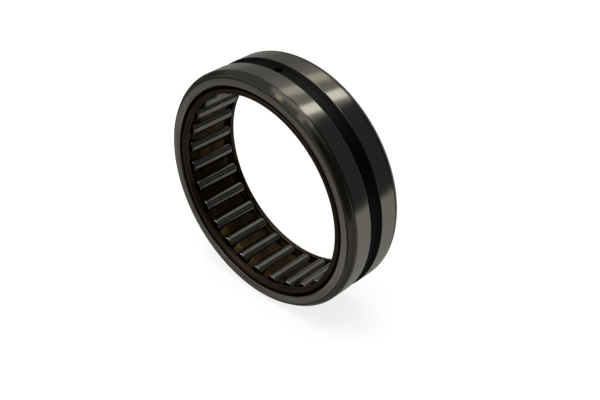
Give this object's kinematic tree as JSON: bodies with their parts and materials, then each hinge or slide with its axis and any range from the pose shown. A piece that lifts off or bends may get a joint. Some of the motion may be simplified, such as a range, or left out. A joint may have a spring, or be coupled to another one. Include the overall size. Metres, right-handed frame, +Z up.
{
  "type": "needle roller bearing",
  "caption": "Needle roller bearing without inner ring: grooved outer ring with a lubrication hole, steel cage and a row of needle rollers that run on the shaft.",
  "frame": {"origin": "centre of the bearing, on its axis, halfway between the side faces", "axes": "+Y along the bearing axis from the front side face to the back one, +Z up through the lubrication hole's side, +X to the right seen from the front"},
  "size_m": [0.09, 0.025, 0.09],
  "materials": {
    "ring_steel": "ground bearing steel, dark in the groove and on the turned edges",
    "cage_steel": "bronze-brown tempered sheet steel, lightly oiled",
    "roller_steel": "fine ground and lapped hardened steel"
  },
  "bodies": {
    "outer_ring": {"outer_ring": "ring_steel"},
    "cage": {"cage_sector_1": "cage_steel", "cage_sector_2": "cage_steel", "cage_sector_3": "cage_steel", "cage_sector_4": "cage_steel", "cage_sector_5": "cage_steel", "cage_sector_6": "cage_steel", "cage_sector_7": "cage_steel", "cage_sector_8": "cage_steel"},
    "roller_01": {"roller_01": "roller_steel"},
    "roller_02": {"roller_02": "roller_steel"},
    "roller_03": {"roller_03": "roller_steel"},
    "roller_04": {"roller_04": "roller_steel"},
    "roller_05": {"roller_05": "roller_steel"},
    "roller_06": {"roller_06": "roller_steel"},
    "roller_07": {"roller_07": "roller_steel"},
    "roller_08": {"roller_08": "roller_steel"},
    "roller_09": {"roller_09": "roller_steel"},
    "roller_10": {"roller_10": "roller_steel"},
    "roller_11": {"roller_11": "roller_steel"},
    "roller_12": {"roller_12": "roller_steel"},
    "roller_13": {"roller_13": "roller_steel"},
    "roller_14": {"roller_14": "roller_steel"},
    "roller_15": {"roller_15": "roller_steel"},
    "roller_16": {"roller_16": "roller_steel"},
    "roller_17": {"roller_17": "roller_steel"},
    "roller_18": {"roller_18": "roller_steel"},
    "roller_19": {"roller_19": "roller_steel"},
    "roller_20": {"roller_20": "roller_steel"},
    "roller_21": {"roller_21": "roller_steel"},
    "roller_22": {"roller_22": "roller_steel"},
    "roller_23": {"roller_23": "roller_steel"},
    "roller_24": {"roller_24": "roller_steel"},
    "roller_25": {"roller_25": "roller_steel"},
    "roller_26": {"roller_26": "roller_steel"},
    "roller_27": {"roller_27": "roller_steel"},
    "roller_28": {"roller_28": "roller_steel"},
    "roller_29": {"roller_29": "roller_steel"}
  },
  "joints": [
    {"name": "cage_spin", "type": "hinge", "parent": "outer_ring", "child": "cage", "pos_m": [0, 0, 0], "axis": [0, 1, 0], "continuous": true},
    {"name": "roller_01_spin", "type": "hinge", "parent": "cage", "child": "roller_01", "pos_m": [-0.00024, 0, 0.0385], "axis": [0, 1, 0], "continuous": true},
    {"name": "roller_02_spin", "type": "hinge", "parent": "cage", "child": "roller_02", "pos_m": [0.00805, 0, 0.03765], "axis": [0, 1, 0], "continuous": true},
    {"name": "roller_03_spin", "type": "hinge", "parent": "cage", "child": "roller_03", "pos_m": [0.01595, 0, 0.03504], "axis": [0, 1, 0], "continuous": true},
    {"name": "roller_04_spin", "type": "hinge", "parent": "cage", "child": "roller_04", "pos_m": [0.02311, 0, 0.03079], "axis": [0, 1, 0], "continuous": true},
    {"name": "roller_05_spin", "type": "hinge", "parent": "cage", "child": "roller_05", "pos_m": [0.02919, 0, 0.0251], "axis": [0, 1, 0], "continuous": true},
    {"name": "roller_06_spin", "type": "hinge", "parent": "cage", "child": "roller_06", "pos_m": [0.0339, 0, 0.01824], "axis": [0, 1, 0], "continuous": true},
    {"name": "roller_07_spin", "type": "hinge", "parent": "cage", "child": "roller_07", "pos_m": [0.03703, 0, 0.01053], "axis": [0, 1, 0], "continuous": true},
    {"name": "roller_08_spin", "type": "hinge", "parent": "cage", "child": "roller_08", "pos_m": [0.03843, 0, 0.00232], "axis": [0, 1, 0], "continuous": true},
    {"name": "roller_09_spin", "type": "hinge", "parent": "cage", "child": "roller_09", "pos_m": [0.03803, 0, -0.006], "axis": [0, 1, 0], "continuous": true},
    {"name": "roller_10_spin", "type": "hinge", "parent": "cage", "child": "roller_10", "pos_m": [0.03585, 0, -0.01403], "axis": [0, 1, 0], "continuous": true},
    {"name": "roller_11_spin", "type": "hinge", "parent": "cage", "child": "roller_11", "pos_m": [0.032, 0, -0.02141], "axis": [0, 1, 0], "continuous": true},
    {"name": "roller_12_spin", "type": "hinge", "parent": "cage", "child": "roller_12", "pos_m": [0.02665, 0, -0.02779], "axis": [0, 1, 0], "continuous": true},
    {"name": "roller_13_spin", "type": "hinge", "parent": "cage", "child": "roller_13", "pos_m": [0.02005, 0, -0.03287], "axis": [0, 1, 0], "continuous": true},
    {"name": "roller_14_spin", "type": "hinge", "parent": "cage", "child": "roller_14", "pos_m": [0.01252, 0, -0.03641], "axis": [0, 1, 0], "continuous": true},
    {"name": "roller_15_spin", "type": "hinge", "parent": "cage", "child": "roller_15", "pos_m": [0.0044, 0, -0.03825], "axis": [0, 1, 0], "continuous": true},
    {"name": "roller_16_spin", "type": "hinge", "parent": "cage", "child": "roller_16", "pos_m": [-0.00393, 0, -0.0383], "axis": [0, 1, 0], "continuous": true},
    {"name": "roller_17_spin", "type": "hinge", "parent": "cage", "child": "roller_17", "pos_m": [-0.01207, 0, -0.03656], "axis": [0, 1, 0], "continuous": true},
    {"name": "roller_18_spin", "type": "hinge", "parent": "cage", "child": "roller_18", "pos_m": [-0.01965, 0, -0.03311], "axis": [0, 1, 0], "continuous": true},
    {"name": "roller_19_spin", "type": "hinge", "parent": "cage", "child": "roller_19", "pos_m": [-0.02631, 0, -0.02811], "axis": [0, 1, 0], "continuous": true},
    {"name": "roller_20_spin", "type": "hinge", "parent": "cage", "child": "roller_20", "pos_m": [-0.03173, 0, -0.0218], "axis": [0, 1, 0], "continuous": true},
    {"name": "roller_21_spin", "type": "hinge", "parent": "cage", "child": "roller_21", "pos_m": [-0.03568, 0, -0.01447], "axis": [0, 1, 0], "continuous": true},
    {"name": "roller_22_spin", "type": "hinge", "parent": "cage", "child": "roller_22", "pos_m": [-0.03795, 0, -0.00646], "axis": [0, 1, 0], "continuous": true},
    {"name": "roller_23_spin", "type": "hinge", "parent": "cage", "child": "roller_23", "pos_m": [-0.03846, 0, 0.00185], "axis": [0, 1, 0], "continuous": true},
    {"name": "roller_24_spin", "type": "hinge", "parent": "cage", "child": "roller_24", "pos_m": [-0.03716, 0, 0.01007], "axis": [0, 1, 0], "continuous": true},
    {"name": "roller_25_spin", "type": "hinge", "parent": "cage", "child": "roller_25", "pos_m": [-0.03412, 0, 0.01783], "axis": [0, 1, 0], "continuous": true},
    {"name": "roller_26_spin", "type": "hinge", "parent": "cage", "child": "roller_26", "pos_m": [-0.02949, 0, 0.02474], "axis": [0, 1, 0], "continuous": true},
    {"name": "roller_27_spin", "type": "hinge", "parent": "cage", "child": "roller_27", "pos_m": [-0.02349, 0, 0.03051], "axis": [0, 1, 0], "continuous": true},
    {"name": "roller_28_spin", "type": "hinge", "parent": "cage", "child": "roller_28", "pos_m": [-0.01638, 0, 0.03484], "axis": [0, 1, 0], "continuous": true},
    {"name": "roller_29_spin", "type": "hinge", "parent": "cage", "child": "roller_29", "pos_m": [-0.00851, 0, 0.03755], "axis": [0, 1, 0], "continuous": true}
  ],
  "couplings": [
    {"joint": "roller_01_spin", "follows": "cage_spin", "ratio": -16.4},
    {"joint": "roller_02_spin", "follows": "cage_spin", "ratio": -16.4},
    {"joint": "roller_03_spin", "follows": "cage_spin", "ratio": -16.4},
    {"joint": "roller_04_spin", "follows": "cage_spin", "ratio": -16.4},
    {"joint": "roller_05_spin", "follows": "cage_spin", "ratio": -16.4},
    {"joint": "roller_06_spin", "follows": "cage_spin", "ratio": -16.4},
    {"joint": "roller_07_spin", "follows": "cage_spin", "ratio": -16.4},
    {"joint": "roller_08_spin", "follows": "cage_spin", "ratio": -16.4},
    {"joint": "roller_09_spin", "follows": "cage_spin", "ratio": -16.4},
    {"joint": "roller_10_spin", "follows": "cage_spin", "ratio": -16.4},
    {"joint": "roller_11_spin", "follows": "cage_spin", "ratio": -16.4},
    {"joint": "roller_12_spin", "follows": "cage_spin", "ratio": -16.4},
    {"joint": "roller_13_spin", "follows": "cage_spin", "ratio": -16.4},
    {"joint": "roller_14_spin", "follows": "cage_spin", "ratio": -16.4},
    {"joint": "roller_15_spin", "follows": "cage_spin", "ratio": -16.4},
    {"joint": "roller_16_spin", "follows": "cage_spin", "ratio": -16.4},
    {"joint": "roller_17_spin", "follows": "cage_spin", "ratio": -16.4},
    {"joint": "roller_18_spin", "follows": "cage_spin", "ratio": -16.4},
    {"joint": "roller_19_spin", "follows": "cage_spin", "ratio": -16.4},
    {"joint": "roller_20_spin", "follows": "cage_spin", "ratio": -16.4},
    {"joint": "roller_21_spin", "follows": "cage_spin", "ratio": -16.4},
    {"joint": "roller_22_spin", "follows": "cage_spin", "ratio": -16.4},
    {"joint": "roller_23_spin", "follows": "cage_spin", "ratio": -16.4},
    {"joint": "roller_24_spin", "follows": "cage_spin", "ratio": -16.4},
    {"joint": "roller_25_spin", "follows": "cage_spin", "ratio": -16.4},
    {"joint": "roller_26_spin", "follows": "cage_spin", "ratio": -16.4},
    {"joint": "roller_27_spin", "follows": "cage_spin", "ratio": -16.4},
    {"joint": "roller_28_spin", "follows": "cage_spin", "ratio": -16.4},
    {"joint": "roller_29_spin", "follows": "cage_spin", "ratio": -16.4}
  ]
}
